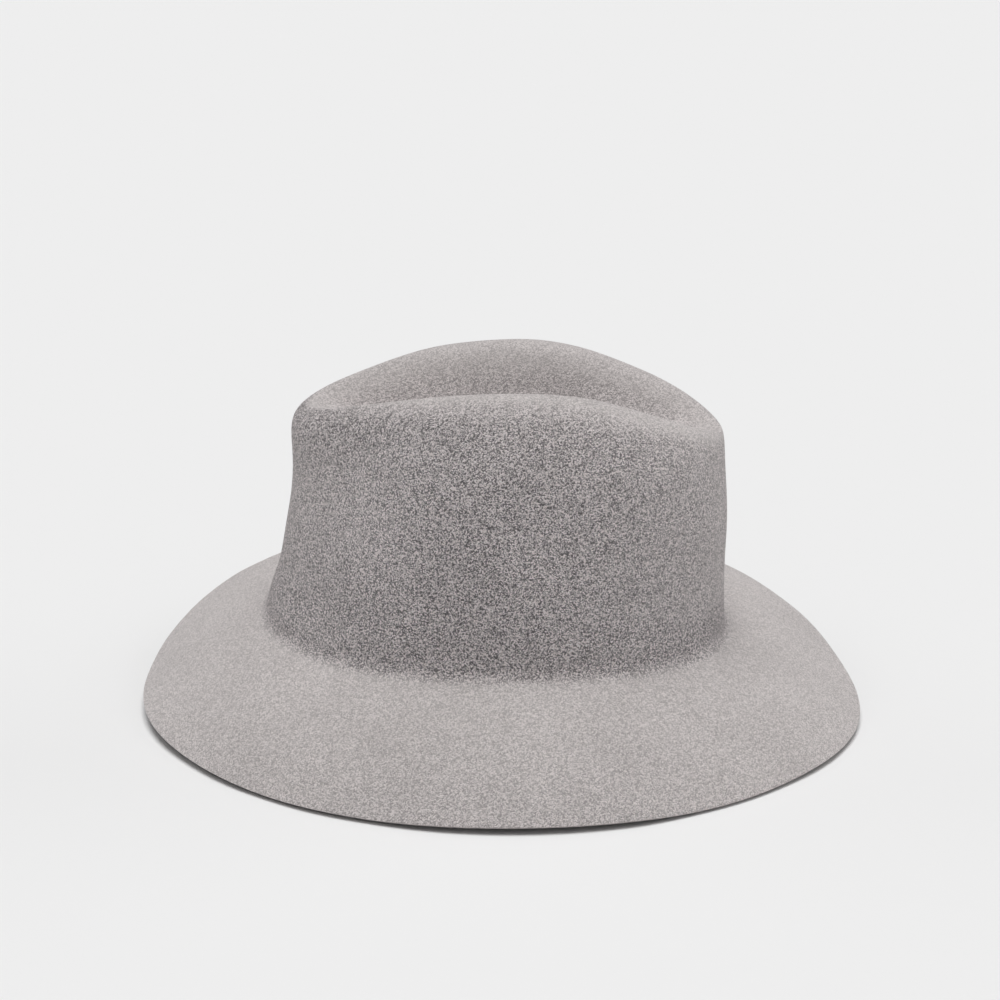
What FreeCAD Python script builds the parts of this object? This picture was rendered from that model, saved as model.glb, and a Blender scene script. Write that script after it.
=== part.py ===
import FreeCAD, Part
import Sketcher
import math
import os

from FreeCAD import Placement, Rotation, Vector

# A soft wool-felt fedora standing on its brim. Crown and brim are one piece of blocked felt.
# The front of the hat points along -X, its left side along -Y, and +Z is up. All in millimetres.

# Sizes -----------------------------------------------------------------------------------------
# Every driving dimension is a cell of the sheet, found by its alias.

SIZES = (
    # head line: the oval where the crown meets the brim, measured on the outside of the felt
    ("head_length", 205.0),
    ("head_width", 163.0),
    ("head_line_front", 48.0),
    ("head_line_back", 40.0),
    ("head_line_side", 52.5),
    # felt
    ("felt_thickness", 2.5),
    ("break_radius", 9.0),
    # brim: its width along the slope, and the angle it droops below level on each side; the
    # higher a power, the shorter the stretch at front and back that has the tips' value
    ("brim_width_front", 72.0),
    ("brim_width_back", 76.0),
    ("brim_width_left", 67.0),
    ("brim_width_right", 72.0),
    ("brim_width_power", 16.0),
    ("droop_angle_front", 36.0),
    ("droop_angle_back", 33.2),
    ("droop_angle_left", 43.0),
    ("droop_angle_right", 21.5),
    ("droop_angle_power", 6.6),
    ("brim_crown_height", 3.4),
    # crown: the ridge is a closed loop round the dent in the top
    ("ridge_length", 180.0),
    ("ridge_width", 63.5),
    ("ridge_setback", 8.0),
    ("crown_height_front", 97.5),
    ("crown_height_back", 95.0),
    ("crown_height_side", 110.5),
    ("back_fullness_depth", 1.0),
    # dent in the top, and the two pinches at the front
    ("dent_depth", 27.0),
    ("dent_length", 118.0),
    ("dent_width", 12.0),
    ("pinch_depth", 8.0),
    ("pinch_angle", 48.0),
    ("pinch_spread_angle", 20.0),
    # sweatband
    ("lining_clearance", 0.3),
    ("layer_clearance", 0.1),
    ("sweatband_height", 32.0),
    ("sweatband_thickness", 0.9),
    ("sweatband_lift", 4.0),
    ("back_joint_gap", 0.8),
    # reed and its tape
    ("reed_diameter", 2.2),
    ("reed_tape_thickness", 0.4),
    ("reed_tape_leg", 7.0),
    # tape behind the back joint
    ("joint_tape_width", 12.0),
    ("joint_tape_height", 23.0),
    ("joint_tape_thickness", 0.4),
    # thread
    ("thread_diameter", 0.6),
    ("stitch_length", 5.0),
    ("stitch_pitch", 9.0),
    ("stitch_row_height", 2.2),
    ("joint_stitch_pitch", 3.2),
    ("joint_stitch_reach", 3.0),
    # ribbon bow on the back joint
    ("bow_span", 30.0),
    ("bow_ribbon_width", 7.0),
    ("bow_ribbon_thickness", 0.5),
    ("bow_loop_depth", 4.2),
    ("bow_knot_width", 5.0),
)

doc = FreeCAD.newDocument("felt_hat")
sheet = doc.addObject("Spreadsheet::Sheet", "Sizes")
for row, (alias, value) in enumerate(SIZES, start=1):
    sheet.set(f"A{row}", alias)
    sheet.set(f"B{row}", str(value))
    sheet.setAlias(f"B{row}", alias)
doc.recompute()


def size(alias):
    return float(sheet.get(alias))


# Surfaces that run round the head -----------------------------------------------------------------

ROUND_STEPS = 24          # points round the head on each ring
RING_DEGREE = 3


def bearings():
    """Angles round the head: the back is 0, the right side a quarter turn, the front a half turn."""
    return [2 * math.pi * step / ROUND_STEPS for step in range(ROUND_STEPS)]


def control_ring(points):
    """Poles whose closed cubic curve runs through the points."""
    return [
        point * (4 / 3) - (points[index - 1] + points[(index + 1) % len(points)]) / 6
        for index, point in enumerate(points)
    ]


def skin(rings, degree=1):
    """A surface closed round the head, from the first ring to the last, shaped by those between."""
    around = len(rings[0])
    poles = [[ring[index] for ring in rings] for index in range(around)]
    spans = len(rings) - degree
    surface = Part.BSplineSurface()
    surface.buildFromPolesMultsKnots(
        poles,
        [1] * (around + 1),
        [degree + 1] + [1] * (spans - 1) + [degree + 1],
        [float(knot) for knot in range(around + 1)],
        [float(knot) for knot in range(spans + 1)],
        True,
        False,
        RING_DEGREE,
        degree,
    )
    return surface


def ruled_bands(rings):
    """One ruled face between each ring and the next."""
    return [skin(pair).toShape() for pair in zip(rings, rings[1:])]


def closed_face(ring):
    """The level face inside one ring."""
    edge = Part.BSplineCurve()
    edge.buildFromPolesMultsKnots(
        ring,
        [1] * (len(ring) + 1),
        [float(knot) for knot in range(len(ring) + 1)],
        True,
        RING_DEGREE,
    )
    return Part.Face(Part.Wire(edge.toShape()))


def solid_of(faces):
    """The closed solid that the faces bound together."""
    shell = Part.makeShell(faces)
    shell.sewShape()
    solid = Part.makeSolid(shell)
    if solid.Volume < 0:
        solid.reverse()
    return solid


# The block: the smooth outer form that the felt is pressed to --------------------------------------


def blend(bearing, front, back, left, right, power=2.0):
    """A value that is given at the four sides of the head and turns smoothly between them."""
    along = abs(math.cos(bearing)) ** power
    end = front if math.cos(bearing) < 0 else back
    side = left if math.sin(bearing) < 0 else right
    return end * along + side * (1 - along)


def head_line(bearing):
    height = blend(
        bearing,
        size("head_line_front"),
        size("head_line_back"),
        size("head_line_side"),
        size("head_line_side"),
    )
    return Vector(
        size("head_length") / 2 * math.cos(bearing),
        size("head_width") / 2 * math.sin(bearing),
        height,
    )


def outward(bearing):
    """The level direction square to the head line, away from the head."""
    normal = Vector(
        size("head_width") * math.cos(bearing), size("head_length") * math.sin(bearing), 0
    )
    return normal.normalize()


def brim_point(bearing, share):
    """A point on the brim at a share of its width, 0 at the head line and 1 at the raw edge."""
    sides = ("front", "back", "left", "right")
    angles = [math.radians(size(f"droop_angle_{side}")) for side in sides]
    widths = [size(f"brim_width_{side}") for side in sides]
    droop = blend(bearing, *angles, size("droop_angle_power"))
    width = blend(bearing, *widths, size("brim_width_power"))
    reach = outward(bearing) * math.cos(droop) - Vector(0, 0, math.sin(droop))
    lift = outward(bearing) * math.sin(droop) + Vector(0, 0, math.cos(droop))
    crown = size("brim_crown_height") * 4 * share * (1 - share)
    return head_line(bearing) + reach * width * share + lift * crown


def ridge_point(bearing):
    """The top of the ridge over a bearing."""
    rise = blend(
        bearing,
        size("crown_height_front"),
        size("crown_height_back"),
        size("crown_height_side"),
        size("crown_height_side"),
    )
    return Vector(
        size("ridge_setback") + size("ridge_length") / 2 * math.cos(bearing),
        size("ridge_width") / 2 * math.sin(bearing),
        head_line(bearing).z + rise,
    )


def pinch(bearing):
    """How far the two front pinches press the wall in at a bearing."""
    away = min(
        abs(bearing - math.pi - side * math.radians(size("pinch_angle"))) for side in (-1, 1)
    )
    return size("pinch_depth") * math.exp(-((away / math.radians(size("pinch_spread_angle"))) ** 2))


def wall_point(bearing, rise, lean_front, lean_back, lean_side, pinched, full):
    """A point on the crown's wall: rise is its share of the height, lean its share of the way in."""
    foot = head_line(bearing)
    top = ridge_point(bearing)
    lean = blend(bearing, lean_front, lean_back, lean_side, lean_side)
    point = foot + (top - foot) * lean
    point.z = foot.z + (top.z - foot.z) * rise
    fullness = size("back_fullness_depth") * full * max(math.cos(bearing), 0) ** 2
    return point + outward(bearing) * (fullness - pinch(bearing) * pinched)


def dent_point(bearing, inward, drop):
    """A point on the dent's wall: inward is its share of the way from the ridge to the crease."""
    top = ridge_point(bearing)
    middle = (ridge_point(0) + ridge_point(math.pi)) / 2
    crease = Vector(
        middle.x + size("dent_length") / 2 * math.cos(bearing),
        size("dent_width") / 2 * math.sin(bearing),
        ridge_point(math.pi / 2).z - size("dent_depth"),
    )
    point = top + (crease - top) * inward
    point.z = top.z + (crease.z - top.z) * drop
    return point


# each: share of the height, lean at the front, the back and the sides, share of pinch and fullness
WALL_STATIONS = (
    (0.22, 0.29, 0.20, 0.03, 0.00, 0.5),
    (0.42, 0.47, 0.28, 0.08, 0.20, 1.0),
    (0.62, 0.60, 0.28, 0.16, 0.70, 1.0),
    (0.80, 0.61, 0.43, 0.27, 1.00, 1.0),
    (0.95, 0.60, 0.58, 0.58, 0.70, 1.0),
    (1.00, 0.97, 0.80, 0.93, 0.20, 0.5),
)
# each: share of the way from the ridge to the crease, share of the drop
DENT_STATIONS = (
    (0.24, 0.08),
    (0.52, 0.48),
    (0.76, 0.88),
    (0.92, 0.98),
    (1.00, 1.00),
)
BRIM_SHARES = (1.0, 0.84, 0.60, 0.36)
BREAK_LEVEL = len(BRIM_SHARES)           # the head line's level on the block, counted from the edge


def block_rings():
    """The rings that shape the block, from the brim's raw edge to the crease in the dent."""
    around = bearings()
    radius = size("break_radius")
    rings = [[brim_point(bearing, share) for bearing in around] for share in BRIM_SHARES]
    rings.append([brim_point(bearing, radius / size("brim_width_left")) for bearing in around])
    rings.append([head_line(bearing) for bearing in around])
    rings.append([head_line(bearing) + Vector(0, 0, radius) for bearing in around])
    for station in WALL_STATIONS:
        rings.append([wall_point(bearing, *station) for bearing in around])
    rings.append([ridge_point(bearing) for bearing in around])
    for station in DENT_STATIONS:
        rings.append([dent_point(bearing, *station) for bearing in around])
    return [control_ring(ring) for ring in rings]


block = skin(block_rings(), degree=3)
_, _, EDGE_LEVEL, TOP_LEVEL = block.bounds()


def block_point(turn, level, depth):
    """A point at a depth under the block's surface; turn counts ring points, level runs up the form."""
    if level == TOP_LEVEL:          # the crease has a level floor
        return block.value(turn, level) - Vector(0, 0, depth)
    return block.value(turn, level) + block.normal(turn, level) * (depth * BLOCK_SIDE)


# the block's normal points into the felt or out of it, as its rings happen to run
wall_level = (EDGE_LEVEL + TOP_LEVEL) / 2
BLOCK_SIDE = -1 if block.normal(0, wall_level).x * block.value(0, wall_level).x > 0 else 1


# Felt body -----------------------------------------------------------------------------------------

def felt_ring(level, depth):
    return control_ring([block_point(turn, level, depth) for turn in range(ROUND_STEPS)])


def felt_shape():
    levels = range(int(EDGE_LEVEL), int(TOP_LEVEL) + 1)
    outside = [felt_ring(level, 0) for level in levels]
    inside = [felt_ring(level, size("felt_thickness")) for level in levels]
    raw_edge = ruled_bands([outside[0], inside[0]])
    crease = [closed_face(rings[-1]) for rings in (outside, inside)]
    return solid_of(ruled_bands(outside) + ruled_bands(inside) + raw_edge + crease)


felt = felt_shape()
felt_box = felt.optimalBoundingBox()

# The hat stands with its lowest point on the ground and the origin under the middle of its box.
STAND = Vector(-felt_box.Center.x, -felt_box.Center.y, -felt_box.ZMin)


def add_shape(label, shape):
    """A sub-part whose shape is built above, set down where the hat stands."""
    feature = doc.addObject("Part::Feature", label)
    feature.Label = label
    feature.Shape = shape
    feature.Placement = Placement(STAND, Rotation())
    return feature


sub_parts = [add_shape("felt_body", felt)]


# Layers of the lining, from the felt inwards -------------------------------------------------------

tape_depth = size("felt_thickness") + size("lining_clearance")
leather_depth = tape_depth + size("reed_tape_thickness") + size("layer_clearance")
reed_radius = size("reed_diameter") / 2
reed_depth = tape_depth + size("reed_tape_thickness") + size("layer_clearance") + reed_radius
reed_drop = reed_radius + size("layer_clearance")


BACK_TURN = max(range(ROUND_STEPS), key=lambda turn: block.value(turn, BREAK_LEVEL).x)


def level_at(turn, rise):
    """The block's level that lies a height above the head line."""
    low, high = BREAK_LEVEL, TOP_LEVEL - len(DENT_STATIONS)
    target = block.value(turn, low).z + rise
    for _ in range(30):
        middle = (low + high) / 2
        if block.value(turn, middle).z < target:
            low = middle
        else:
            high = middle
    return low


def wall_spot(turn, depth, rise):
    """A point inside the crown at a depth under the felt's face and a height over the head line."""
    return block_point(turn, level_at(turn, rise), depth)


def hung_spot(turn, depth, drop):
    """A point straight below the sweatband's lower edge."""
    return wall_spot(turn, depth, size("sweatband_lift")) - Vector(0, 0, drop)


def loop_of(spots):
    """The solid swept round the head by a closed section; each spot gives a point for a turn."""
    rings = [control_ring([spot(turn) for turn in range(ROUND_STEPS)]) for spot in spots]
    return solid_of(ruled_bands(rings + rings[:1]))


def wall_loop(depth, thickness, heights):
    """A band that lies against the wall, from the first height to the last."""
    corners = [(depth, height) for height in heights]
    corners += [(depth + thickness, height) for height in reversed(heights)]
    return loop_of([lambda turn, c=corner: wall_spot(turn, *c) for corner in corners])


def back_slab(label, width):
    """An upright slab across the middle of the back, wide enough to cut a joint or keep a patch."""
    slab = doc.addObject("Part::Box", label)
    slab.setExpression("Length", "Sizes.head_length")
    slab.setExpression("Width", f"Sizes.{width}")
    slab.setExpression("Height", "Sizes.head_line_side + Sizes.crown_height_side")
    slab.Placement = Placement(STAND - Vector(0, size(width) / 2, 0), Rotation())
    return slab


def jointed(label, shape, slab):
    """A band that was a strip: its two ends meet at the back with the joint's gap."""
    whole = doc.addObject("Part::Feature", f"{label}_uncut")
    whole.Shape = shape
    whole.Placement = Placement(STAND, Rotation())
    strip = doc.addObject("Part::Cut", label)
    strip.Label = label
    strip.Base = whole
    strip.Tool = slab
    return strip


# Leather sweatband ---------------------------------------------------------------------------------

band_low = size("sweatband_lift")
band_high = band_low + size("sweatband_height")
leg_top = band_low + size("reed_tape_leg")
band_middle = (leg_top + band_high) / 2
leather = wall_loop(
    leather_depth, size("sweatband_thickness"), (band_low, leg_top, band_middle, band_high)
)
sub_parts.append(jointed("sweatband", leather, back_slab("joint_gap", "back_joint_gap")))


# Reed: the springy rod that keeps the band's lower edge oval ----------------------------------------

REED_SIDES = 6


def reed_spot(side):
    angle = 2 * math.pi * side / REED_SIDES
    return lambda turn: hung_spot(
        turn,
        reed_depth + reed_radius * math.cos(angle),
        reed_drop - reed_radius * math.sin(angle),
    )


reed = loop_of([reed_spot(side) for side in range(REED_SIDES)])
sub_parts.append(jointed("sweatband_reed", reed, back_slab("reed_gap", "back_joint_gap")))


# Reed tape: cloth that runs up behind the leather and turns under the reed --------------------------

tape_foot = reed_drop + reed_radius + size("layer_clearance")
tape_reach = reed_depth + reed_radius
tape_thick = size("reed_tape_thickness")
tape_section = (
    lambda turn: wall_spot(turn, tape_depth, leg_top),
    lambda turn: wall_spot(turn, tape_depth, band_low),
    lambda turn: hung_spot(turn, tape_depth, tape_foot + tape_thick),
    lambda turn: hung_spot(turn, tape_reach, tape_foot + tape_thick),
    lambda turn: hung_spot(turn, tape_reach, tape_foot),
    lambda turn: hung_spot(turn, tape_depth + tape_thick, tape_foot),
    lambda turn: wall_spot(turn, tape_depth + tape_thick, band_low),
    lambda turn: wall_spot(turn, tape_depth + tape_thick, leg_top),
)
sub_parts.append(add_shape("reed_tape", loop_of(tape_section)))


# Joint tape: the cloth patch behind the place where the leather's ends meet -------------------------

patch_low = leg_top + size("layer_clearance")
patch_high = patch_low + size("joint_tape_height")
patch_heights = (patch_low, (patch_low + patch_high) / 2, patch_high)
patch_loop = doc.addObject("Part::Feature", "joint_tape_uncut")
patch_loop.Shape = wall_loop(tape_depth, size("joint_tape_thickness"), patch_heights)
patch_loop.Placement = Placement(STAND, Rotation())
patch = doc.addObject("Part::Common", "joint_tape")
patch.Label = "joint_tape"
patch.Base = patch_loop
patch.Tool = back_slab("patch_width", "joint_tape_width")
sub_parts.append(patch)


# Thread --------------------------------------------------------------------------------------------

thread = size("thread_diameter")
stitch_depth = leather_depth + size("sweatband_thickness") + size("layer_clearance") + thread / 2
bow_low = band_low + size("stitch_row_height") + thread + size("layer_clearance")
bow_high = bow_low + size("bow_ribbon_width")


def stitch(start, end):
    """One straight stitch, its middle on the line from start to end."""
    bar = Part.makeBox((end - start).Length, thread, thread, Vector(0, -thread / 2, -thread / 2))
    bar.Placement = Placement(start, Rotation(Vector(1, 0, 0), end - start))
    return bar


def stitch_row():
    """The thread that sews the band to the head line, a stitch at every pitch round the head."""
    rise = band_low + size("stitch_row_height")
    course = Part.BSplineCurve()
    course.interpolate(
        [wall_spot(turn, stitch_depth, rise) for turn in range(ROUND_STEPS)], PeriodicFlag=True
    )
    count = round(course.length() / size("stitch_pitch"))
    stitches = []
    for index in range(count):
        start = course.parameterAtDistance(course.length() * index / count)
        end = course.parameterAtDistance(size("stitch_length"), start)
        stitches.append(stitch(course.value(start), course.value(end)))
    return Part.makeCompound(stitches)


def joint_row():
    """The zigzag that closes the back joint above the bow, its stitches crossing the gap in turn."""
    pitch = size("joint_stitch_pitch")
    reach = Vector(0, size("joint_stitch_reach"), pitch / 4)
    count = int((band_high - bow_high) / pitch) - 1
    stitches = []
    for index in range(count):
        middle = wall_spot(BACK_TURN, stitch_depth, band_high - pitch * (index + 1))
        stitches.append(stitch(middle - reach, middle + reach))
        reach.z = -reach.z
    return Part.makeCompound(stitches)


sub_parts.append(add_shape("sweatband_stitches", stitch_row()))
sub_parts.append(add_shape("back_joint_stitches", joint_row()))


# Ribbon bow over the joint -------------------------------------------------------------------------

# The bow's flat back clears the curved band at its two ends; the knot fills the hollow to the band.
bow_heights = (bow_low, bow_high)
bow_faces = [wall_spot(BACK_TURN, stitch_depth - thread / 2, height) for height in bow_heights]
bow_face = Vector(min(face.x for face in bow_faces), bow_faces[0].y, bow_faces[0].z)
half_width = size("head_width") / 2 - stitch_depth
bow_hollow = bow_face.x * (1 - math.sqrt(1 - (size("bow_span") / 2 / half_width) ** 2))
bow_seat = STAND + bow_face - Vector(bow_hollow, 0, 0)


def origin_plane(body, role):
    return next(plane for plane in body.Origin.OriginFeatures if plane.Role == role)


def constrain(sketch, *details):
    return sketch.addConstraint(Sketcher.Constraint(*details))


def add_slot(sketch, side, inset):
    """A long outline across the back with two round ends, for one face of a bow's loop."""
    radius = size("bow_loop_depth") / 2
    near = size("bow_knot_width") / 2 + radius
    far = size("bow_span") / 2 - radius
    low, high = sorted((side * near, side * far))
    bottom = sketch.addGeometry(
        Part.ArcOfCircle(Part.Circle(Vector(0, low, 0), Vector(0, 0, 1), radius), math.pi, 2 * math.pi)
    )
    right = sketch.addGeometry(Part.LineSegment(Vector(radius, low, 0), Vector(radius, high, 0)))
    top = sketch.addGeometry(
        Part.ArcOfCircle(Part.Circle(Vector(0, high, 0), Vector(0, 0, 1), radius), 0, math.pi)
    )
    left = sketch.addGeometry(Part.LineSegment(Vector(-radius, high, 0), Vector(-radius, low, 0)))
    outline = (bottom, right, top, left)
    for piece, following in zip(outline, outline[1:] + outline[:1]):
        constrain(sketch, "Tangent", piece, 2, following, 1)
    for arc in (bottom, top):
        constrain(sketch, "PointOnObject", arc, 3, -2)
    constrain(sketch, "Equal", bottom, top)
    width = constrain(sketch, "Radius", bottom, radius)
    sketch.setExpression(f"Constraints[{width}]", f"Sizes.bow_loop_depth / 2 - {inset}")
    inner, outer = (bottom, top) if side > 0 else (top, bottom)
    for arc, reach, value in (
        (inner, near, "Sizes.bow_knot_width / 2 + Sizes.layer_clearance + Sizes.bow_loop_depth / 2"),
        (outer, far, "Sizes.bow_span / 2 - Sizes.bow_loop_depth / 2"),
    ):
        ends = (-1, 1, arc, 3) if side > 0 else (arc, 3, -1, 1)
        place = constrain(sketch, "DistanceY", *ends, reach)
        sketch.setExpression(f"Constraints[{place}]", value)


def add_bow_loop(label, side):
    """One loop of the bow: ribbon bent round on itself, standing on its edge."""
    body = doc.addObject("PartDesign::Body", label)
    body.Label = label
    sketch = body.newObject("Sketcher::SketchObject", f"{label}_outline")
    sketch.AttachmentSupport = (origin_plane(body, "XY_Plane"), [""])
    sketch.MapMode = "FlatFace"
    add_slot(sketch, side, "0")
    add_slot(sketch, side, "Sizes.bow_ribbon_thickness")
    pad = body.newObject("PartDesign::Pad", f"{label}_ribbon")
    pad.Profile = sketch
    pad.setExpression("Length", "Sizes.bow_ribbon_width")
    body.Placement = Placement(bow_seat - Vector(size("bow_loop_depth") / 2, 0, 0), Rotation())
    return body


def add_bow_knot(label):
    """The short ribbon that holds the two loops together, against the band."""
    body = doc.addObject("PartDesign::Body", label)
    body.Label = label
    block_of_ribbon = body.newObject("PartDesign::AdditiveBox", f"{label}_ribbon")
    depth = size("bow_loop_depth") + size("bow_ribbon_thickness") + bow_hollow
    block_of_ribbon.Length = depth
    block_of_ribbon.setExpression("Width", "Sizes.bow_knot_width")
    block_of_ribbon.setExpression("Height", "Sizes.bow_ribbon_width")
    corner = Vector(bow_hollow - depth, -size("bow_knot_width") / 2, 0)
    body.Placement = Placement(bow_seat + corner, Rotation())
    return body


sub_parts.append(add_bow_loop("bow_right_loop", 1))
sub_parts.append(add_bow_loop("bow_left_loop", -1))
sub_parts.append(add_bow_knot("bow_knot"))


# Checks and files ----------------------------------------------------------------------------------

doc.recompute()
for item in doc.Objects:
    faults = {"Invalid", "Error"} & set(item.State)
    if faults:
        raise RuntimeError(f"{item.Label} is {sorted(faults)}")
for part in sub_parts:
    if part.Shape.isNull() or not part.Shape.isValid():
        raise RuntimeError(f"{part.Label} has no valid shape")

os.makedirs("parts", exist_ok=True)
for part in sub_parts:
    part.Shape.exportStep(os.path.join("parts", f"{part.Label}.step"))
    extent = part.Shape.BoundBox
    print(
        f"{part.Label}: {len(part.Shape.Solids)} solids, {part.Shape.Volume / 1000:.2f} cm3,",
        f"{extent.XLength:.1f} x {extent.YLength:.1f} x {extent.ZLength:.1f} mm",
    )
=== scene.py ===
import bpy
import math
from mathutils import Matrix, Vector, noise


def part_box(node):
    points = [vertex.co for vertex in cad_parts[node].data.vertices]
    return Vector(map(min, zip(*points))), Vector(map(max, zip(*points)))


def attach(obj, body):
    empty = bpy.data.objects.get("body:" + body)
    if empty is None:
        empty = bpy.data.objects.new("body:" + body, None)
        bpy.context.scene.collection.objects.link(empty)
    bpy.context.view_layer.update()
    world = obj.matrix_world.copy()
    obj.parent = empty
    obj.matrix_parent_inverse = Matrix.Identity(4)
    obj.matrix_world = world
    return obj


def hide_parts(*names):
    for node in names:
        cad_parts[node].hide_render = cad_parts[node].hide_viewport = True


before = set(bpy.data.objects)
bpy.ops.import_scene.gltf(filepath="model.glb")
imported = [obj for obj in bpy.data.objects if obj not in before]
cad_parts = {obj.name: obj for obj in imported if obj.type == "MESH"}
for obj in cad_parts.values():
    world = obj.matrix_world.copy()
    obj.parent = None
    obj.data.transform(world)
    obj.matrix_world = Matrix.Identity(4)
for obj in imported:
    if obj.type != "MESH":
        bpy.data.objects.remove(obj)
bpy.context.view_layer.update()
bpy.ops.object.select_all(action="DESELECT")


# ------------------------------------------------------------------------------------------------
# The camera: a long lens well back from the hat, a little above it, looking square at its left
# side, so that the front points to the left of the picture.

camera_aim = Vector((-0.0008, -0.0090, 0.1038))
camera_distance = 1.40
camera_height_angle = math.radians(22.83)
camera_turn = math.radians(0.86)

towards_camera = Vector(
    (
        math.sin(camera_turn) * math.cos(camera_height_angle),
        -math.cos(camera_turn) * math.cos(camera_height_angle),
        math.sin(camera_height_angle),
    )
)
bpy.ops.object.camera_add(
    location=camera_aim + towards_camera * camera_distance,
    rotation=towards_camera.to_track_quat("Z", "Y").to_euler(),
)
camera = bpy.context.object
camera.name = "camera"
camera.data.lens = 113.67
camera.data.sensor_width = 36.0
bpy.context.scene.camera = camera


# ------------------------------------------------------------------------------------------------
# The studio: a pale seamless floor under one wide soft light overhead, with a light off each end
# and an even glow from the room. The floor is leaned a little, so that it passes close under the
# near edge of the brim and the shadow there stays thin.

floor_size = 14.0
floor_height = -0.0005
floor_lean = (math.radians(-2.98), math.radians(0.89), 0)
bpy.ops.mesh.primitive_plane_add(
    size=floor_size, location=(0, 0, floor_height), rotation=floor_lean
)
floor = bpy.context.object
floor.name = "floor"

floor_paper = bpy.data.materials.new("floor_paper")
floor_paper.use_nodes = True
paper_shader = floor_paper.node_tree.nodes["Principled BSDF"]
paper_shader.inputs["Base Color"].default_value = (0.853, 0.853, 0.853, 1)
paper_shader.inputs["Roughness"].default_value = 1.0
paper_shader.inputs["Specular IOR Level"].default_value = 0.0
floor.data.materials.append(floor_paper)


def add_softbox(name, energy, spread_angle, tilt, turn):
    """A wide far-off light: tilted from overhead, then turned round the hat from the left side."""
    bpy.ops.object.light_add(
        type="SUN", location=(0, 0, 3), rotation=(math.radians(tilt), 0, math.radians(turn))
    )
    light = bpy.context.object
    light.name = name
    light.data.energy = energy
    light.data.angle = math.radians(spread_angle)


add_softbox("overhead_light", energy=2.14, spread_angle=40, tilt=0, turn=0)
add_softbox("back_end_light", energy=0.45, spread_angle=50, tilt=74, turn=108)
add_softbox("front_end_light", energy=0.30, spread_angle=50, tilt=74, turn=-108)

room = bpy.data.worlds.new("room")
bpy.context.scene.world = room
room.use_nodes = True
room.node_tree.nodes["Background"].inputs["Color"].default_value = (1, 1, 1, 1)
room.node_tree.nodes["Background"].inputs["Strength"].default_value = 0.25

bpy.context.scene.view_settings.view_transform = "Standard"


# ------------------------------------------------------------------------------------------------
# The felt: crown and brim are one wool-felt body, steamed and pulled over a block, pinched by
# hand at the front and trimmed raw at the brim's edge. It is the only piece seen from outside.

head_length, head_width = 0.205, 0.163
head_line_front, head_line_back, head_line_side = 0.048, 0.040, 0.0525
felt_thickness = 0.0025
hand_unevenness, unevenness_scale = 0.0009, 28
soft_presses = (                       # along the hat, height over the brim's tips, spread, depth
    (0.024, 0.128, 0.029, 0.0068),
    (-0.010, 0.085, 0.022, 0.0015),
    (-0.086, 0.068, 0.018, 0.0042),
)
press_fade = 0.02                      # over this width a press dies out towards the ridge
brim_break = 0.009
brim_widths = (0.072, 0.076, 0.067, 0.072)                        # front, back, left, right
brim_droops = tuple(math.radians(angle) for angle in (36.0, 33.2, 43.0, 21.5))
brim_width_power, brim_droop_power = 16.0, 6.6
brim_crown = 0.0034                                               # the brim's own slight arch
ridge_length, ridge_width, ridge_setback = 0.180, 0.0635, 0.008
crown_rise_front, crown_rise_back, crown_rise_side = 0.0975, 0.095, 0.1105
back_fullness = 0.001
dent_depth, dent_length, dent_width = 0.027, 0.118, 0.012
pinch_depth = 0.008
pinch_bearing, pinch_spread = math.radians(48), math.radians(20)

cut_corner_round = 0.0005
sharp_corner = math.radians(60)
felt_smoothness = 3

ring_points = 24
bearings = [2 * math.pi * step / ring_points for step in range(ring_points)]


def blend(bearing, front, back, left, right, power=2.0):
    """A value given at the hat's four sides that turns smoothly from one to the next."""
    along = abs(math.cos(bearing)) ** power
    end = front if math.cos(bearing) < 0 else back
    side = left if math.sin(bearing) < 0 else right
    return end * along + side * (1 - along)


def head_line(bearing):
    height = blend(bearing, head_line_front, head_line_back, head_line_side, head_line_side)
    return Vector(
        (head_length / 2 * math.cos(bearing), head_width / 2 * math.sin(bearing), height)
    )


def outward(bearing):
    return Vector(
        (head_width * math.cos(bearing), head_length * math.sin(bearing), 0)
    ).normalized()


def brim_point(bearing, share):
    """A point at a share of the brim's width: 0 at the head line, 1 at the raw edge."""
    droop = blend(bearing, *brim_droops, brim_droop_power)
    width = blend(bearing, *brim_widths, brim_width_power)
    reach = outward(bearing) * math.cos(droop) - Vector((0, 0, math.sin(droop)))
    lift = outward(bearing) * math.sin(droop) + Vector((0, 0, math.cos(droop)))
    return head_line(bearing) + reach * width * share + lift * brim_crown * 4 * share * (1 - share)


def ridge_point(bearing):
    rise = blend(bearing, crown_rise_front, crown_rise_back, crown_rise_side, crown_rise_side)
    return Vector(
        (
            ridge_setback + ridge_length / 2 * math.cos(bearing),
            ridge_width / 2 * math.sin(bearing),
            head_line(bearing).z + rise,
        )
    )


def wall_point(bearing, rise, lean_front, lean_back, lean_side, pinched, full):
    """A point on the crown's wall, part of the way up from the head line to the ridge."""
    foot, top = head_line(bearing), ridge_point(bearing)
    point = foot.lerp(top, blend(bearing, lean_front, lean_back, lean_side, lean_side))
    point.z = foot.z + (top.z - foot.z) * rise
    away = min(abs(bearing - math.pi - side * pinch_bearing) for side in (-1, 1))
    pinch = pinch_depth * math.exp(-((away / pinch_spread) ** 2))
    fullness = back_fullness * full * max(math.cos(bearing), 0) ** 2
    return point + outward(bearing) * (fullness - pinch * pinched)


def dent_point(bearing, inward, drop):
    """A point on the dent's wall, part of the way from the ridge to the crease."""
    top = ridge_point(bearing)
    middle = (ridge_point(0) + ridge_point(math.pi)) / 2
    crease = Vector(
        (
            middle.x + dent_length / 2 * math.cos(bearing),
            dent_width / 2 * math.sin(bearing),
            ridge_point(math.pi / 2).z - dent_depth,
        )
    )
    point = top.lerp(crease, inward)
    point.z = top.z + (crease.z - top.z) * drop
    return point


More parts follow.
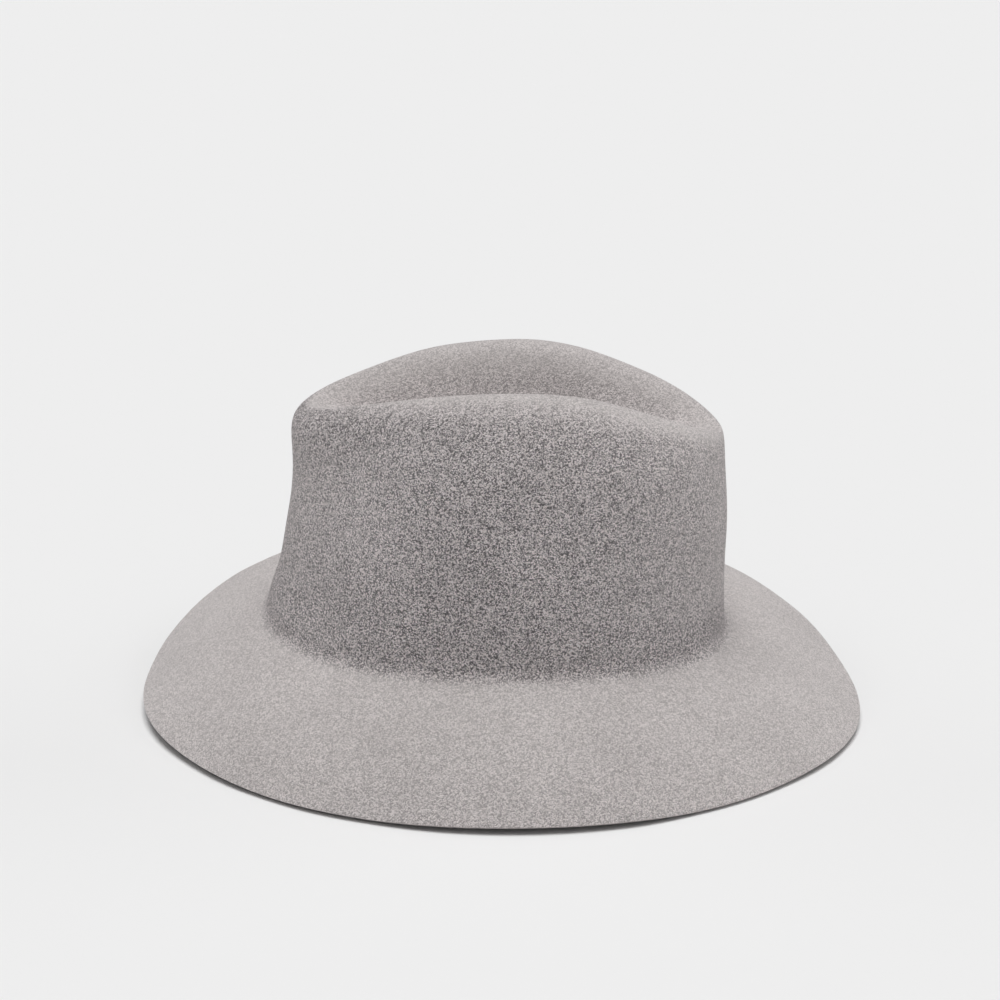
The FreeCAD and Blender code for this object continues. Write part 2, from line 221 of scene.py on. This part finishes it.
wall_stations = (          # share of the height, lean at front, back and sides, pinch, fullness
    (0.22, 0.29, 0.20, 0.03, 0.00, 0.5),
    (0.42, 0.47, 0.28, 0.08, 0.20, 1.0),
    (0.62, 0.60, 0.28, 0.16, 0.70, 1.0),
    (0.80, 0.61, 0.43, 0.27, 1.00, 1.0),
    (0.95, 0.60, 0.58, 0.58, 0.70, 1.0),
    (1.00, 0.97, 0.80, 0.93, 0.20, 0.5),
)
dent_stations = (          # share of the way in, share of the way down
    (0.24, 0.08), (0.52, 0.48), (0.76, 0.88), (0.92, 0.98), (1.00, 1.00),
)
brim_stations = (1.0, 0.84, 0.60, 0.36)                            # share of the brim's width

felt_rings = [[brim_point(b, share) for b in bearings] for share in brim_stations]
felt_rings.append([brim_point(b, brim_break / brim_widths[2]) for b in bearings])
felt_rings.append([head_line(b) for b in bearings])
felt_rings.append([head_line(b) + Vector((0, 0, brim_break)) for b in bearings])
felt_rings += [[wall_point(b, *station) for b in bearings] for station in wall_stations]
felt_rings.append([ridge_point(b) for b in bearings])
felt_rings += [[dent_point(b, *station) for b in bearings] for station in dent_stations]


def tightened(ring):
    """The corners of a cage whose smoothed line runs (very nearly) through the ring's points."""
    return [
        point * (4 / 3) - (ring[index - 1] + ring[(index + 1) % len(ring)]) / 6
        for index, point in enumerate(ring)
    ]


def move_open_ring(shell, old, new):
    """Moves the ring that is selected from its old points to its new ones."""
    bpy.ops.object.mode_set(mode="OBJECT")
    for vertex in shell.data.vertices:
        if vertex.select:
            place = min(range(len(old)), key=lambda index: (old[index] - vertex.co).length)
            vertex.co = new[place]
    bpy.ops.object.mode_set(mode="EDIT")


circle = [Vector((head_length * math.cos(b), head_length * math.sin(b), 0)) for b in bearings]
bpy.ops.mesh.primitive_circle_add(vertices=ring_points, radius=head_length)
felt = bpy.context.object
felt.name = "felt"
bpy.ops.object.mode_set(mode="EDIT")
bpy.ops.mesh.select_all(action="SELECT")
open_ring = circle
for ring in felt_rings:
    cage_ring = tightened(ring)
    if open_ring is not circle:
        bpy.ops.mesh.extrude_edges_move()
    move_open_ring(felt, open_ring, cage_ring)
    open_ring = cage_ring
bpy.ops.mesh.fill_grid(span=2, offset=ring_points // 2 - 1)        # the crease's level floor
bpy.ops.mesh.select_all(action="SELECT")
bpy.ops.mesh.normals_make_consistent(inside=False)
bpy.ops.object.mode_set(mode="OBJECT")
if max(felt.data.polygons, key=lambda face: face.center.z).normal.z < 0:
    felt.data.flip_normals()

# How far the nap stands up on each ring: pressed flat on the brim and the ridge, up on the walls.
# The same values set the felt's tone and the strength of its speckle to suit how the light falls
# there, so these are painted shade and light as well as nap. The felt material stops at 0 and 1,
# so values past them only make a change more sudden.
front_nap_shade = (
    0, 0, 0, 0, -0.8, 0.7, 1.5, 0.85, 0.7, 0.55, 0.6, 0.9, 0.9, -0.4, 0, 0.3, 0.3, 0.3, 0.3,
)
side_nap_shade = (
    0.2, 0.15, 0.05, 0, -0.8, 0.8, 1.5, 1, 1, 1, 1, 1, 0.1, -1.2, -0.2, 0.3, 0.3, 0.3, 0.3,
)
back_nap_shade = (
    0, 0, 0, 0, -0.8, 0.6, 1.2, 0.55, 0.45, 0.5, 0.45, 0.35, -0.5, -1.2, 0, 0.3, 0.3, 0.3, 0.3,
)
nap_and_painted_shade = felt.data.attributes.new("nap_and_painted_shade", "FLOAT", "POINT")
cage = [
    (corner, blend(bearing, front, back, side, side))
    for ring, front, side, back in zip(felt_rings, front_nap_shade, side_nap_shade, back_nap_shade)
    for corner, bearing in zip(tightened(ring), bearings)
]
for vertex in felt.data.vertices:
    nap_and_painted_shade.data[vertex.index].value = min(cage, key=lambda c: (c[0] - vertex.co).length)[1]

smoothing = felt.modifiers.new("smoothing", "SUBSURF")
smoothing.levels = smoothing.render_levels = felt_smoothness
bpy.ops.object.modifier_apply(modifier="smoothing")


def soft_press(point):
    """How far the maker's hands left the crown's left side pressed in at a point."""
    on_side = min(max((-point.y - ridge_width / 2) / press_fade, 0), 1)
    return on_side * sum(
        depth * math.exp(-((point.x - along) ** 2 + (point.z - up) ** 2) / spread**2)
        for along, up, spread, depth in soft_presses
    )


facings = [vertex.normal.copy() for vertex in felt.data.vertices]
for vertex, facing in zip(felt.data.vertices, facings):
    unevenness = noise.noise(vertex.co * unevenness_scale) * hand_unevenness
    vertex.co += facing * (unevenness - soft_press(vertex.co))

felt_thick = felt.modifiers.new("felt_thick", "SOLIDIFY")
felt_thick.thickness = felt_thickness
felt_thick.offset = -1
felt_thick.material_offset_rim = 1
bpy.ops.object.modifier_apply(modifier="felt_thick")
cut_corners = felt.modifiers.new("cut_corners", "BEVEL")
cut_corners.width = cut_corner_round
cut_corners.segments = 2
cut_corners.limit_method = "ANGLE"
cut_corners.angle_limit = sharp_corner
bpy.ops.object.modifier_apply(modifier="cut_corners")

low = Vector((min(v.co[axis] for v in felt.data.vertices) for axis in range(3)))
high = Vector((max(v.co[axis] for v in felt.data.vertices) for axis in range(3)))
felt_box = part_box("felt_body")
stand = Vector(                        # sets the felt where the hat stands: middled, tips down
    (
        (felt_box[0].x + felt_box[1].x - low.x - high.x) / 2,
        (felt_box[0].y + felt_box[1].y - low.y - high.y) / 2,
        felt_box[0].z - low.z,
    )
)
for vertex in felt.data.vertices:
    vertex.co += stand
bpy.ops.object.shade_smooth()


def new_material(name):
    """A material, its shader, a way to add a node and a way to join one to the shader."""
    material = bpy.data.materials.new(name)
    material.use_nodes = True
    tree = material.node_tree

    def add(kind, inputs=(), **settings):
        node = tree.nodes.new("ShaderNode" + kind)
        for setting, value in settings.items():
            setattr(node, setting, value)
        for which, value in dict(inputs).items():
            socket = node.inputs[which]
            if isinstance(which, str):
                socket = next(s for s in node.inputs if s.name == which and s.enabled)
            if isinstance(value, bpy.types.NodeSocket):
                tree.links.new(value, socket)
            else:
                socket.default_value = value
        return node

    shader = tree.nodes["Principled BSDF"]

    def join(output, socket):
        tree.links.new(output, shader.inputs[socket])

    return material, shader, add, join


tufts_per_metre, mats_per_metre = 2200.0, 1300.0
matting_reach = 0.0007


def make_felt_material(name, brim_colour, crown_colour):
    """Wool felt: short matted fibres, smooth where the nap lies flat and speckled where not.
    Its tone and speckle strength follow the nap's mask too, which is in part painted shade and
    light.
    """
    material, shader, add, join = new_material(name)
    place = add("TexCoord").outputs["Object"]
    nap_shade_mask = add("Attribute", attribute_name="nap_and_painted_shade").outputs["Fac"]
    matting = add("TexNoise", {"Vector": place, "Scale": mats_per_metre, "Detail": 2.0})
    matted_place = add("VectorMath", {0: matting.outputs["Color"], 1: (matting_reach,) * 3,
                                      2: place}, operation="MULTIPLY_ADD").outputs["Vector"]
    tufts = add("TexVoronoi", {"Vector": matted_place, "Scale": tufts_per_metre})
    tuft_tones = add("SeparateColor", {"Color": tufts.outputs["Color"]}).outputs["Red"]
    mottle = add("TexNoise", {"Vector": place, "Scale": 30.0, "Detail": 5.0, "Roughness": 0.6})
    speckle = add("MapRange", {"Value": tuft_tones, "From Min": 0.2, "From Max": 0.8,
                               "To Min": -1.0, "To Max": 1.0})
    # The speckle is strongest where the mask is high: painted shade of fibres where light grazes
    # the walls, besides the nap itself.
    speckle_depth = add("MapRange", {"Value": nap_shade_mask, "To Min": 0.26, "To Max": 0.76})
    speckled = add("Math", {0: speckle.outputs["Result"], 1: speckle_depth.outputs["Result"],
                            2: 1.0}, operation="MULTIPLY_ADD")
    clouding = add("MapRange", {"Value": mottle.outputs["Fac"], "From Min": 0.3, "From Max": 0.7,
                                "To Min": 0.95, "To Max": 1.05})
    shade = add("Math", {0: speckled.outputs["Value"], 1: clouding.outputs["Result"]},
                operation="MULTIPLY")
    # The tone turns from the brim's to the crown's with the mask: painted shade and light on one
    # felt.
    wool = add("Mix", {"Factor": nap_shade_mask, "A": brim_colour, "B": crown_colour}, data_type="RGBA")
    shaded = add("VectorMath", {0: wool.outputs[2], "Scale": shade.outputs["Value"]},
                 operation="SCALE")
    join(shaded.outputs["Vector"], "Base Color")
    dryness = add("MapRange", {"Value": tuft_tones, "To Min": 0.82, "To Max": 1.0})
    join(dryness.outputs["Result"], "Roughness")
    nap_lift = add("MapRange", {"Value": nap_shade_mask, "To Min": 0.45, "To Max": 1.0})
    nap = add("Bump", {"Height": tufts.outputs["Distance"],
                       "Strength": nap_lift.outputs["Result"], "Distance": 0.0010}, invert=True)
    join(nap.outputs["Normal"], "Normal")
    shader.inputs["Specular IOR Level"].default_value = 0.25
    shader.inputs["Sheen Weight"].default_value = 0.20
    shader.inputs["Sheen Roughness"].default_value = 0.5
    return material


# The brim's and the crown's tones are one felt's colour set apart to suit the light on each:
# painted light and shade.
wool_felt = make_felt_material("wool_felt", (0.570, 0.530, 0.522, 1), (0.61, 0.558, 0.560, 1))
cut_felt_colour = (0.68, 0.635, 0.62, 1)
cut_felt = make_felt_material("cut_felt", cut_felt_colour, cut_felt_colour)
felt.data.materials.clear()
felt.data.materials.append(wool_felt)
felt.data.materials.append(cut_felt)

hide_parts("felt_body")
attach(felt, "root")


# ------------------------------------------------------------------------------------------------
# The sweatband: a strip of thin leather that lines the head opening. Its two ends meet at the
# back, and its lower edge is sewn to the felt just inside the head line.

lining_clearance, layer_clearance = 0.0003, 0.0001
tape_thickness = 0.0004
band_lift, band_height, band_thickness = 0.004, 0.032, 0.0009
joint_gap = 0.0008
tape_depth = lining_clearance
band_depth = tape_depth + tape_thickness + layer_clearance
band_stand_off = 0.0007                      # the leather's free edge leans away from the felt
joint_flat_angle = math.radians(28)          # beside the joint the leather lies flat on its patch
ripple_depth, ripple_scale = 0.5, 3.5
belly_turn = 2.2                             # how far round a sine's arch the leather's belly goes
band_rows, band_steps = 12, 288
band_edge_round = 0.0003
weld_distance = 0.00001

bpy.context.view_layer.update()


def inside_spot(bearing, depth, rise):
    """A point inside the crown, a depth in from the felt's inner face and over the head line."""
    foot = head_line(bearing)
    start = Vector((stand.x, stand.y, foot.z + stand.z + rise))
    _, wall, facing, _ = felt.ray_cast(start, Vector((foot.x, foot.y, 0)).normalized())
    return wall + facing * depth


def add_lining_strip(name, rows, start, end, steps):
    """A strip round the inside of the crown from bearing to bearing; a row is depth, rise, drop."""
    bpy.ops.mesh.primitive_grid_add(x_subdivisions=steps, y_subdivisions=len(rows) - 1, size=2)
    strip = bpy.context.object
    strip.name = name
    for vertex in strip.data.vertices:
        depth, rise, drop = rows[round((vertex.co.y + 1) / 2 * (len(rows) - 1))]
        bearing = start + (end - start) * (vertex.co.x + 1) / 2
        vertex.co = inside_spot(bearing, depth, rise) - Vector((0, 0, drop))
    bpy.ops.object.mode_set(mode="EDIT")
    bpy.ops.mesh.select_all(action="SELECT")
    bpy.ops.mesh.remove_doubles(threshold=weld_distance)
    bpy.ops.object.mode_set(mode="OBJECT")
    return strip


def thicken(strip, thickness, edge_round):
    """Gives a strip its thickness, towards the head, and takes the sharpness off its edges."""
    layer = strip.modifiers.new("layer", "SOLIDIFY")
    layer.thickness = thickness
    layer.offset = -1
    bpy.ops.object.modifier_apply(modifier="layer")
    soft_edges = strip.modifiers.new("soft_edges", "BEVEL")
    soft_edges.width = edge_round
    soft_edges.segments = 2
    soft_edges.limit_method = "ANGLE"
    soft_edges.angle_limit = sharp_corner
    bpy.ops.object.modifier_apply(modifier="soft_edges")
    bpy.ops.object.shade_smooth()


def band_belly(bearing, rise):
    """How far the leather stands off the felt: sewn tight below, freer towards its upper edge."""
    share = (rise - band_lift) / band_height
    away = min(bearing, 2 * math.pi - bearing)
    slack = min(away / joint_flat_angle, 1) ** 2
    round_head = Vector((math.cos(bearing), math.sin(bearing), 0))
    ripple = 1 + ripple_depth * noise.noise(round_head * ripple_scale)
    return band_stand_off * slack * ripple * math.sin(share * belly_turn)


gap_angle = joint_gap / head_length
band_rises = [band_lift + band_height * step / band_rows for step in range(band_rows + 1)]
sweatband = add_lining_strip(
    "leather_band",
    [(band_depth, rise, 0) for rise in band_rises],
    gap_angle,
    2 * math.pi - gap_angle,
    band_steps,
)
for vertex in sweatband.data.vertices:
    from_axis = Vector((vertex.co.x - stand.x, vertex.co.y - stand.y, 0))
    bearing = math.atan2(from_axis.y / head_width, from_axis.x / head_length) % (2 * math.pi)
    rise = vertex.co.z - stand.z - head_line(bearing).z
    vertex.co -= from_axis.normalized() * band_belly(bearing, rise)
thicken(sweatband, band_thickness, band_edge_round)

sweatband_leather, _, add, join = new_material("sweatband_leather")
place = add("TexCoord").outputs["Object"]
across = add("SeparateXYZ", {"Vector": add("UVMap").outputs["UV"]}).outputs["Y"]
pores = add("TexVoronoi", {"Vector": place, "Scale": 1100.0, "Smoothness": 0.4},
            feature="SMOOTH_F1").outputs["Distance"]
wrinkles = add("TexNoise", {"Vector": place, "Scale": 210.0, "Detail": 4.0, "Roughness": 0.6,
                            "Distortion": 0.7}).outputs["Fac"]
stain = add("TexNoise", {"Vector": place, "Scale": 38.0, "Detail": 3.0}).outputs["Fac"]
grain = add("Mix", {"Factor": 0.45, "A": pores, "B": wrinkles}).outputs["Result"]
tan = add("ValToRGB", {"Fac": stain})
tan.color_ramp.elements[0].position, tan.color_ramp.elements[1].position = 0.3, 0.75
tan.color_ramp.elements[0].color = (0.085, 0.052, 0.036, 1)
tan.color_ramp.elements[1].color = (0.145, 0.094, 0.068, 1)
rubbed = add("MapRange", {"Value": across, "From Min": 0.93, "From Max": 1.0, "To Max": 0.45},
             interpolation_type="SMOOTHSTEP").outputs["Result"]
worn_tan = add("Mix", {"Factor": rubbed, "A": tan.outputs["Color"], "B": (0.25, 0.175, 0.13, 1)},
               data_type="RGBA").outputs[2]
grain_shade = add("MapRange", {"Value": grain, "From Min": 0.2, "From Max": 0.6, "To Min": 0.78,
                               "To Max": 1.08}).outputs["Result"]
join(add("VectorMath", {0: worn_tan, "Scale": grain_shade}, operation="SCALE").outputs["Vector"],
     "Base Color")
join(add("MapRange", {"Value": wrinkles, "To Min": 0.36, "To Max": 0.62}).outputs["Result"],
     "Roughness")
join(add("Bump", {"Height": grain, "Strength": 0.55, "Distance": 0.0005}).outputs["Normal"],
     "Normal")
sweatband.data.materials.append(sweatband_leather)

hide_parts("sweatband")
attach(sweatband, "root")


# ------------------------------------------------------------------------------------------------
# The reed: a springy plastic rod under the sweatband's lower edge that keeps it oval. Its two ends
# butt at the back joint.

reed_radius = 0.0011
reed_depth = tape_depth + tape_thickness + layer_clearance + reed_radius
reed_drop = reed_radius + layer_clearance
reed_steps, reed_sides = 192, 12
end_width = 0.7                               # a rod's or thread's end is cut a little narrower
ply_depth = 0.15                              # how deep the groove between two plies is


def add_rod(name, points, radius, sides, twist=0.0):
    """A round rod or thread swept along points; a twist gives it the two lobes of plied thread."""
    bpy.ops.mesh.primitive_grid_add(x_subdivisions=len(points) - 1, y_subdivisions=sides, size=2)
    rod = bpy.context.object
    rod.name = name
    last = len(points) - 1
    for vertex in rod.data.vertices:
        index = round((vertex.co.x + 1) / 2 * last)
        angle = math.pi * (vertex.co.y + 1)
        along = (points[min(index + 1, last)] - points[max(index - 1, 0)]).normalized()
        side = along.cross(Vector((0, 0, 1))).normalized()
        up = side.cross(along)
        width = radius * (end_width if index in (0, last) else 1)
        if twist:
            width *= 1 + ply_depth * math.cos(2 * angle + twist * index)
        vertex.co = points[index] + (side * math.cos(angle) + up * math.sin(angle)) * width
    bpy.ops.object.mode_set(mode="EDIT")
    bpy.ops.mesh.select_all(action="SELECT")
    bpy.ops.mesh.remove_doubles(threshold=weld_distance)
    bpy.ops.mesh.fill_holes(sides=0)
    bpy.ops.mesh.select_all(action="SELECT")
    bpy.ops.mesh.normals_make_consistent(inside=False)
    bpy.ops.object.mode_set(mode="OBJECT")
    bpy.ops.object.shade_smooth()
    return rod


reed_bearings = [
    gap_angle + 2 * (math.pi - gap_angle) * step / reed_steps for step in range(reed_steps + 1)
]
reed_points = [
    inside_spot(bearing, reed_depth, band_lift) - Vector((0, 0, reed_drop))
    for bearing in reed_bearings
]
reed = add_rod("reed_rod", reed_points, reed_radius, reed_sides)

reed_plastic, _, add, join = new_material("reed_plastic")
place = add("TexCoord").outputs["Object"]
haze = add("TexNoise", {"Vector": place, "Scale": 90.0, "Detail": 3.0}).outputs["Fac"]
scuffs = add("TexNoise", {"Vector": place, "Scale": 900.0, "Detail": 2.0}).outputs["Fac"]
join(add("Mix", {"Factor": haze, "A": (0.62, 0.60, 0.54, 1), "B": (0.78, 0.76, 0.70, 1)},
         data_type="RGBA").outputs[2], "Base Color")
join(add("MapRange", {"Value": scuffs, "To Min": 0.25, "To Max": 0.5}).outputs["Result"],
     "Roughness")
join(add("Bump", {"Height": scuffs, "Strength": 0.15, "Distance": 0.0002}).outputs["Normal"],
     "Normal")
reed.data.materials.append(reed_plastic)

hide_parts("sweatband_reed")
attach(reed, "root")


# ------------------------------------------------------------------------------------------------
# The reed tape: a woven cotton tape folded under the reed and up behind the leather, sewn in the
# same seam. It holds the reed to the sweatband.

reed_tape_leg = 0.007
reed_tape_length, reed_tape_width = 0.565, 0.0125
fold_round, cloth_edge_round = 0.0005, 0.0001
leg_rows, tape_steps = 4, 192
leg_top = band_lift + reed_tape_leg
tape_foot = reed_drop + reed_radius + layer_clearance + tape_thickness
tape_reach = reed_depth + reed_radius
reed_tape_rows = [
    (tape_reach, band_lift, tape_foot),
    (tape_reach / 2, band_lift, tape_foot),
    (tape_depth + fold_round, band_lift, tape_foot),
    (tape_depth, band_lift, tape_foot - fold_round),
    (tape_depth, band_lift, tape_foot / 2),
]
reed_tape_rows += [
    (tape_depth, band_lift + reed_tape_leg * step / leg_rows, 0) for step in range(leg_rows + 1)
]
reed_tape = add_lining_strip("reed_cloth", reed_tape_rows, 0, 2 * math.pi, tape_steps)
thicken(reed_tape, tape_thickness, cloth_edge_round)


def make_woven_material(name, cut, pitches, thread_colours, rough):
    """Woven cloth on a piece's own map: cut is its flat size, pitches are those of its threads."""
    material, shader, add, join = new_material(name)
    spread = add("VectorMath", {0: add("UVMap").outputs["UV"], 1: (*cut, 1)},
                 operation="MULTIPLY").outputs["Vector"]
    wave_of_pitch = 2 * math.pi / 20          # the scale at which a wave repeats once a metre
    across = add("TexWave", {"Vector": spread, "Scale": wave_of_pitch / pitches[0],
                             "Distortion": 0.4}, bands_direction="X").outputs["Fac"]
    along = add("TexWave", {"Vector": spread, "Scale": wave_of_pitch / pitches[1],
                            "Distortion": 0.4}, bands_direction="Y").outputs["Fac"]
    weave = add("Math", {0: across, 1: along}, operation="MULTIPLY").outputs["Value"]
    fuzz = add("TexNoise", {"Vector": add("TexCoord").outputs["Object"], "Scale": 2500.0,
                            "Detail": 2.0}).outputs["Fac"]
    height = add("Mix", {"Factor": 0.25, "A": weave, "B": fuzz}).outputs["Result"]
    join(add("Mix", {"Factor": height, "A": thread_colours[0], "B": thread_colours[1]},
             data_type="RGBA").outputs[2], "Base Color")
    join(add("MapRange", {"Value": fuzz, "To Min": rough - 0.1, "To Max": rough + 0.1}
             ).outputs["Result"], "Roughness")
    join(add("Bump", {"Height": height, "Strength": 0.6, "Distance": 0.0003}).outputs["Normal"],
         "Normal")
    shader.inputs["Specular IOR Level"].default_value = 0.2
    return material


cotton_colours = ((0.060, 0.053, 0.052, 1), (0.135, 0.122, 0.120, 1))
cotton_pitches, cotton_roughness = (0.0006, 0.0007), 0.85
reed_tape.data.materials.append(
    make_woven_material(
        "tape_cloth",
        (reed_tape_length, reed_tape_width),
        cotton_pitches,
        cotton_colours,
        cotton_roughness,
    )
)

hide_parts("reed_tape")
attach(reed_tape, "root")


# ------------------------------------------------------------------------------------------------
# The joint tape: a patch of the same cotton behind the place where the leather's ends meet, so
# that the zigzag has something to hold to.

joint_tape_width, joint_tape_height = 0.012, 0.023
patch_low = leg_top + layer_clearance
patch_angle = math.asin(joint_tape_width / head_width)
patch_rows, patch_steps = 6, 8
patch_spots = [
    (tape_depth, patch_low + joint_tape_height * step / patch_rows, 0)
    for step in range(patch_rows + 1)
]
joint_tape = add_lining_strip("joint_patch", patch_spots, -patch_angle, patch_angle, patch_steps)
thicken(joint_tape, tape_thickness, cloth_edge_round)
joint_tape.data.materials.append(
    make_woven_material(
        "patch_cloth",
        (joint_tape_width, joint_tape_height),
        cotton_pitches,
        cotton_colours,
        cotton_roughness,
    )
)

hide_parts("joint_tape")
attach(joint_tape, "root")


# ------------------------------------------------------------------------------------------------
# The thread: a long stitch at every pitch holds the sweatband to the felt, and a zigzag crosses
# the back joint above the bow. One stitch is two-ply thread that dips into the leather at its ends.

thread_radius = 0.0003
stitch_pitch, stitch_length = 0.009, 0.005
joint_stitch_pitch, joint_stitch_reach = 0.0032, 0.003
stitch_row_rise = band_lift + 0.0022
stitch_dip = 0.0006                           # how far a stitch's ends go into the leather
stitch_segments, stitch_sides, ply_twist = 8, 8, 1.3
seam_steps = 1440                             # the seam is walked in quarter degrees
thread_depth = band_depth + band_thickness + thread_radius * 0.7
bow_low = stitch_row_rise + 2 * thread_radius + layer_clearance
bow_ribbon_width = 0.007


def model_stitch(length):
    """One stitch along X, its middle proud of the leather (towards Z) and its ends dipping in."""
    shares = [step / stitch_segments for step in range(stitch_segments + 1)]
    points = [
        Vector((length * (share - 0.5), 0, -stitch_dip * (2 * share - 1) ** 4)) for share in shares
    ]
    return add_rod("stitch", points, thread_radius, stitch_sides, twist=ply_twist)


def sew(name, stitch, places):
    """Copies a stitch to each place, given by its two ends and the way that its face looks."""
    for start, end, facing in places:
        direction = (end - start).normalized()
        across = facing.cross(direction).normalized()
        turn = Matrix((direction, across, direction.cross(across))).transposed().to_4x4()
        copy = stitch.copy()
        copy.data = stitch.data.copy()
        copy.data.transform(Matrix.Translation((start + end) / 2) @ turn)
        bpy.context.collection.objects.link(copy)
        copy.select_set(True)
    bpy.data.objects.remove(stitch)
    bpy.context.view_layer.objects.active = copy
    bpy.ops.object.join()
    copy.name = name
    return copy


def stitch_places():
    """Where the seam's stitches lie: one at every pitch along the leather's lower edge."""
    places = []
    walked = 0
    last = inside_spot(0, thread_depth, stitch_row_rise)
    start = None
    for step in range(1, seam_steps + 1):
        bearing = math.radians(step * 360 / seam_steps)
        spot = inside_spot(bearing, thread_depth, stitch_row_rise)
        walked += (spot - last).length
        last = spot
        if start is None and walked % stitch_pitch > stitch_pitch - stitch_length:
            start = spot
        elif start is not None and walked % stitch_pitch < stitch_pitch - stitch_length:
            inward = Vector((stand.x - spot.x, stand.y - spot.y, 0)).normalized()
            places.append((start, spot, inward))
            start = None
    return places


def joint_places():
    """Where the zigzag's stitches lie, from the joint's top down to the bow."""
    places = []
    count = int((band_lift + band_height - bow_low - bow_ribbon_width) / joint_stitch_pitch) - 1
    slant = joint_stitch_pitch / 4
    reach = math.asin(joint_stitch_reach / (head_width / 2))
    for index in range(count):
        rise = band_lift + band_height - joint_stitch_pitch * (index + 1)
        start = inside_spot(-reach, thread_depth, rise - slant)
        places.append((start, inside_spot(reach, thread_depth, rise + slant), Vector((-1, 0, 0))))
        slant = -slant
    return places


sewing_thread, _, add, join = new_material("sewing_thread")
lint = add("TexNoise", {"Vector": add("TexCoord").outputs["Object"], "Scale": 3000.0,
                        "Detail": 2.0}).outputs["Fac"]
join(add("Mix", {"Factor": lint, "A": (0.15, 0.13, 0.115, 1), "B": (0.31, 0.27, 0.24, 1)},
         data_type="RGBA").outputs[2], "Base Color")
join(add("MapRange", {"Value": lint, "To Min": 0.5, "To Max": 0.8}).outputs["Result"], "Roughness")
join(add("Bump", {"Height": lint, "Strength": 0.4, "Distance": 0.0001}).outputs["Normal"], "Normal")

for name, node, length, places in (
    ("band_thread", "sweatband_stitches", stitch_length, stitch_places()),
    ("joint_thread", "back_joint_stitches", 2 * joint_stitch_reach, joint_places()),
):
    bpy.ops.object.select_all(action="DESELECT")
    stitch = model_stitch(length)
    stitch.select_set(False)
    sewn = sew(name, stitch, places)
    sewn.data.materials.append(sewing_thread)
    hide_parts(node)
    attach(sewn, "root")


# ------------------------------------------------------------------------------------------------
# The bow: two loops of narrow grosgrain ribbon standing on edge and a short knot of the same
# ribbon round their middle, sewn over the foot of the joint.

bow_ribbon_thickness, bow_edge_round = 0.0005, 0.0001
bow_ribbon_length = 0.030                     # of each loop and of the knot, for the weave's map
loop_steps, loop_rows = 64, 6
loop_fullness, loop_round_off, loop_flare = 0.16, 0.05, 0.03
loop_end_squareness, loop_side_squareness = 0.7, 0.85
knot_steps, knot_rows = 48, 8
knot_waist, knot_squareness = 0.08, 0.5
knot_fold = math.radians(50)


def squared(wave, power):
    """A sine or cosine drawn out towards its ends, so that a round turns into a rounded box."""
    return math.copysign(abs(wave) ** power, wave)


def add_ribbon_loop(name, low, high, far_side):
    """A loop of ribbon filling a box, narrower at the knot and fuller at its far side."""
    bpy.ops.mesh.primitive_grid_add(x_subdivisions=loop_steps, y_subdivisions=loop_rows, size=2)
    loop = bpy.context.object
    loop.name = name
    middle, half = (low + high) / 2, (high - low) / 2
    for vertex in loop.data.vertices:
        turn = math.pi * (vertex.co.x + 1)
        across = vertex.co.y
        fullness = 1 - loop_fullness + loop_fullness * math.sin(turn) * far_side
        round_off = 1 - loop_round_off * across**2
        out = squared(math.cos(turn), loop_end_squareness)
        aside = squared(math.sin(turn), loop_side_squareness)
        flare = 1 + loop_flare * math.sin(turn) * far_side
        vertex.co = Vector(
            (
                middle.x + half.x * fullness * round_off * out,
                middle.y + half.y * aside,
                middle.z + half.z * across * flare,
            )
        )
    bpy.ops.object.mode_set(mode="EDIT")
    bpy.ops.mesh.select_all(action="SELECT")
    bpy.ops.mesh.remove_doubles(threshold=weld_distance)
    bpy.ops.object.mode_set(mode="OBJECT")
    thicken(loop, bow_ribbon_thickness, bow_edge_round)
    return loop


def add_ribbon_knot(name, low, high):
    """The short ribbon drawn tight round the bow's middle, slightly waisted."""
    bpy.ops.mesh.primitive_grid_add(x_subdivisions=knot_steps, y_subdivisions=knot_rows, size=2)
    knot = bpy.context.object
    knot.name = name
    middle, half = (low + high) / 2, (high - low) / 2
    for vertex in knot.data.vertices:
        turn = math.pi * (vertex.co.x + 1)
        across = vertex.co.y
        waist = 1 - knot_waist + knot_waist * across**2
        vertex.co = middle + Vector(
            (
                -half.x * waist * squared(math.cos(turn), knot_squareness),
                half.y * across,
                half.z * waist * squared(math.sin(turn), knot_squareness),
            )
        )
    bpy.ops.object.mode_set(mode="EDIT")
    bpy.ops.mesh.select_all(action="SELECT")
    bpy.ops.mesh.remove_doubles(threshold=weld_distance)
    bpy.ops.mesh.fill_holes(sides=0)
    bpy.ops.mesh.select_all(action="SELECT")
    bpy.ops.mesh.normals_make_consistent(inside=False)
    bpy.ops.object.mode_set(mode="OBJECT")
    bpy.ops.object.shade_smooth_by_angle(angle=knot_fold)
    return knot


grosgrain_colours = ((0.045, 0.038, 0.034, 1), (0.105, 0.090, 0.080, 1))
grosgrain_pitches, grosgrain_roughness = (0.0006, 0.0004), 0.6
grosgrain = make_woven_material(
    "bow_ribbon",
    (bow_ribbon_length, bow_ribbon_width),
    grosgrain_pitches,
    grosgrain_colours,
    grosgrain_roughness,
)
bow = {
    "bow_right_loop": add_ribbon_loop("ribbon_right_loop", *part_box("bow_right_loop"), 1),
    "bow_left_loop": add_ribbon_loop("ribbon_left_loop", *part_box("bow_left_loop"), -1),
    "bow_knot": add_ribbon_knot("ribbon_knot", *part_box("bow_knot")),
}
for node, ribbon in bow.items():
    ribbon.data.materials.append(grosgrain)
    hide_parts(node)
    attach(ribbon, "root")
